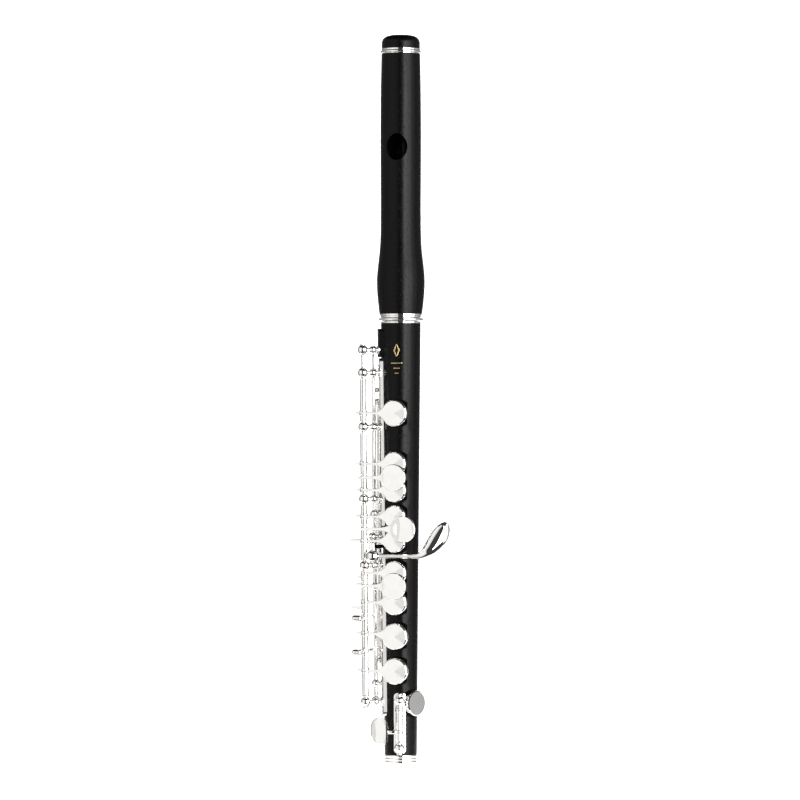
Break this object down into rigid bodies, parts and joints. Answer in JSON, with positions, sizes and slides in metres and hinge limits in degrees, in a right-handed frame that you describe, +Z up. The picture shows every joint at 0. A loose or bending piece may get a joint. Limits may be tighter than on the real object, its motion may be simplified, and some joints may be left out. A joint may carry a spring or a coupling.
{
  "type": "piccolo",
  "caption": "Two-joint blackwood piccolo with silver-plated rings, ribs, rods and hinged keys; head slides on a cork tenon.",
  "frame": {"origin": "centre of the bore at the foot end face", "axes": "+Z up the bore to the crown, -Y towards the blowing side and finger keys, key rods along -X"},
  "size_m": [0.0448, 0.0298, 0.32],
  "materials": {
    "blackwood": "oiled, satin",
    "silver_plate": "polished silver plate",
    "steel": "drawn",
    "pad_skin": "smooth skin over felt",
    "cork": "fine cork"
  },
  "bodies": {
    "body_joint": {"body_tube": "blackwood", "tenon_cork": "cork", "body_ring": "silver_plate", "foot_ring": "silver_plate", "lower_key_rib": "silver_plate", "upper_key_rib": "silver_plate", "rib_screws": "silver_plate", "foot_key_saddle": "silver_plate", "saddle_screws": "silver_plate", "main_posts": "silver_plate", "trill_posts": "silver_plate", "g_sharp_post": "silver_plate", "thumb_posts": "silver_plate", "foot_key_posts": "silver_plate", "main_rod_upper": "steel", "main_rod_lower": "steel", "d_trill_rod": "steel", "d_sharp_trill_rod": "steel", "thumb_rod": "steel", "g_sharp_rod": "steel", "foot_key_rod": "steel", "pivot_screws": "silver_plate", "needle_springs": "steel"},
    "head_joint": {"head_tube": "blackwood", "head_ring": "silver_plate", "crown_ring": "silver_plate"},
    "crown": {"crown": "blackwood"},
    "stopper": {"stopper_rod": "steel", "stopper_cork": "cork", "stopper_nut": "steel"},
    "c_key": {"c_key": "silver_plate", "c_pad": "pad_skin"},
    "b_flat_key": {"b_flat_key": "silver_plate", "b_flat_pad": "pad_skin"},
    "a_key": {"a_key": "silver_plate", "a_pad": "pad_skin"},
    "g_upper_key": {"g_upper_key": "silver_plate", "g_upper_pad": "pad_skin"},
    "g_key": {"g_key": "silver_plate", "g_pad": "pad_skin"},
    "f_sharp_key": {"f_sharp_key": "silver_plate", "f_sharp_pad": "pad_skin"},
    "f_key": {"f_key": "silver_plate", "f_pad": "pad_skin"},
    "e_key": {"e_key": "silver_plate", "e_pad": "pad_skin"},
    "d_key": {"d_key": "silver_plate", "d_pad": "pad_skin"},
    "g_sharp_key": {"g_sharp_key": "silver_plate", "g_sharp_pad": "pad_skin"},
    "e_flat_key": {"e_flat_key": "silver_plate", "e_flat_pad": "pad_skin"},
    "d_trill_key": {"d_trill_key": "silver_plate", "d_trill_pad": "pad_skin"},
    "d_sharp_trill_key": {"d_sharp_trill_key": "silver_plate", "d_sharp_trill_pad": "pad_skin"},
    "thumb_b_key": {"thumb_b_key": "silver_plate", "thumb_b_pad": "pad_skin"},
    "thumb_b_flat_key": {"thumb_b_flat_key": "silver_plate"}
  },
  "joints": [
    {"name": "head_slide", "type": "slide", "parent": "body_joint", "child": "head_joint", "axis": [0, 0, 1], "range_m": [0, 0.012]},
    {"name": "crown_turn", "type": "hinge", "parent": "head_joint", "child": "crown", "pos_m": [0, 0, 0.314], "axis": [0, 0, 1], "range_deg": [0, 1081]},
    {"name": "stopper_slide", "type": "slide", "parent": "head_joint", "child": "stopper", "axis": [0, 0, 1], "range_m": [0, 0.0024]},
    {"name": "c_key_hinge", "type": "hinge", "parent": "body_joint", "child": "c_key", "pos_m": [-0.01496, -0.00892, 0.1597], "axis": [-0.0076, -0.0045, 1], "range_deg": [0, 8], "stiffness_Nm_per_rad": 0.015, "springref_deg": -17.19},
    {"name": "b_flat_key_hinge", "type": "hinge", "parent": "body_joint", "child": "b_flat_key", "pos_m": [-0.01478, -0.00881, 0.1362], "axis": [-0.0076, -0.0045, 1], "range_deg": [0, 8], "stiffness_Nm_per_rad": 0.015, "springref_deg": -17.19},
    {"name": "a_key_hinge", "type": "hinge", "parent": "body_joint", "child": "a_key", "pos_m": [-0.01468, -0.00875, 0.1228], "axis": [-0.0076, -0.0045, 1], "range_deg": [0, 8], "stiffness_Nm_per_rad": 0.015, "springref_deg": -17.19},
    {"name": "g_upper_key_hinge", "type": "hinge", "parent": "body_joint", "child": "g_upper_key", "pos_m": [-0.01458, -0.00869, 0.1095], "axis": [-0.0076, -0.0045, 1], "range_deg": [0, 8], "stiffness_Nm_per_rad": 0.015, "springref_deg": -17.19},
    {"name": "g_key_hinge", "type": "hinge", "parent": "body_joint", "child": "g_key", "pos_m": [-0.01448, -0.00863, 0.0971], "axis": [-0.0076, -0.0045, 1], "range_deg": [0, 8], "stiffness_Nm_per_rad": 0.015, "springref_deg": -17.19},
    {"name": "f_sharp_key_hinge", "type": "hinge", "parent": "body_joint", "child": "f_sharp_key", "pos_m": [-0.01437, -0.00857, 0.0824], "axis": [-0.0076, -0.0045, 1], "range_deg": [0, 8], "stiffness_Nm_per_rad": 0.015, "springref_deg": -17.19},
    {"name": "f_key_hinge", "type": "hinge", "parent": "body_joint", "child": "f_key", "pos_m": [-0.0143, -0.00852, 0.073], "axis": [-0.0076, -0.0045, 1], "range_deg": [0, 8], "stiffness_Nm_per_rad": 0.015, "springref_deg": -17.19},
    {"name": "e_key_hinge", "type": "hinge", "parent": "body_joint", "child": "e_key", "pos_m": [-0.01418, -0.00845, 0.057], "axis": [-0.0076, -0.0045, 1], "range_deg": [0, 8], "stiffness_Nm_per_rad": 0.015, "springref_deg": -17.19},
    {"name": "d_key_hinge", "type": "hinge", "parent": "body_joint", "child": "d_key", "pos_m": [-0.01404, -0.00837, 0.0388], "axis": [-0.0076, -0.0045, 1], "range_deg": [0, 8], "stiffness_Nm_per_rad": 0.015, "springref_deg": -17.19},
    {"name": "g_sharp_key_hinge", "type": "hinge", "parent": "body_joint", "child": "g_sharp_key", "pos_m": [-0.01122, -0.0065, 0.0934], "axis": [-0.0076, -0.0044, 1], "range_deg": [0, 5], "stiffness_Nm_per_rad": 0.015, "springref_deg": -17.19},
    {"name": "d_trill_key_hinge", "type": "hinge", "parent": "body_joint", "child": "d_trill_key", "pos_m": [-0.0119, 0.00075, 0.099], "axis": [-0.0088, 0.0006, 1], "range_deg": [0, 8], "stiffness_Nm_per_rad": 0.015, "springref_deg": -17.19},
    {"name": "d_sharp_trill_key_hinge", "type": "hinge", "parent": "body_joint", "child": "d_sharp_trill_key", "pos_m": [-0.01057, 0.00434, 0.101], "axis": [-0.0082, 0.0033, 1], "range_deg": [0, 8], "stiffness_Nm_per_rad": 0.015, "springref_deg": -17.19},
    {"name": "e_flat_key_hinge", "type": "hinge", "parent": "body_joint", "child": "e_flat_key", "pos_m": [0.0016, -0.01, 0.0178], "axis": [-0.0014, 0.0087, -1], "range_deg": [0, 10], "stiffness_Nm_per_rad": 0.015, "springref_deg": -17.19},
    {"name": "thumb_b_key_hinge", "type": "hinge", "parent": "body_joint", "child": "thumb_b_key", "pos_m": [-0.00804, 0.01025, 0.137], "axis": [0.0054, -0.0069, -1], "range_deg": [0, 9], "stiffness_Nm_per_rad": 0.015, "springref_deg": -17.19},
    {"name": "thumb_b_flat_key_hinge", "type": "hinge", "parent": "body_joint", "child": "thumb_b_flat_key", "pos_m": [-0.00797, 0.01016, 0.124], "axis": [0.0054, -0.0069, -1], "range_deg": [0, 9], "stiffness_Nm_per_rad": 0.015, "springref_deg": -17.19}
  ],
  "couplings": [
    {"joint": "crown_turn", "follows": "stopper_slide", "rad_per_m": 7854},
    {"joint": "b_flat_key_hinge", "follows": "a_key_hinge", "ratio": 1},
    {"joint": "g_upper_key_hinge", "follows": "g_key_hinge", "ratio": 1},
    {"joint": "f_sharp_key_hinge", "follows": "f_key_hinge", "ratio": 1}
  ]
}
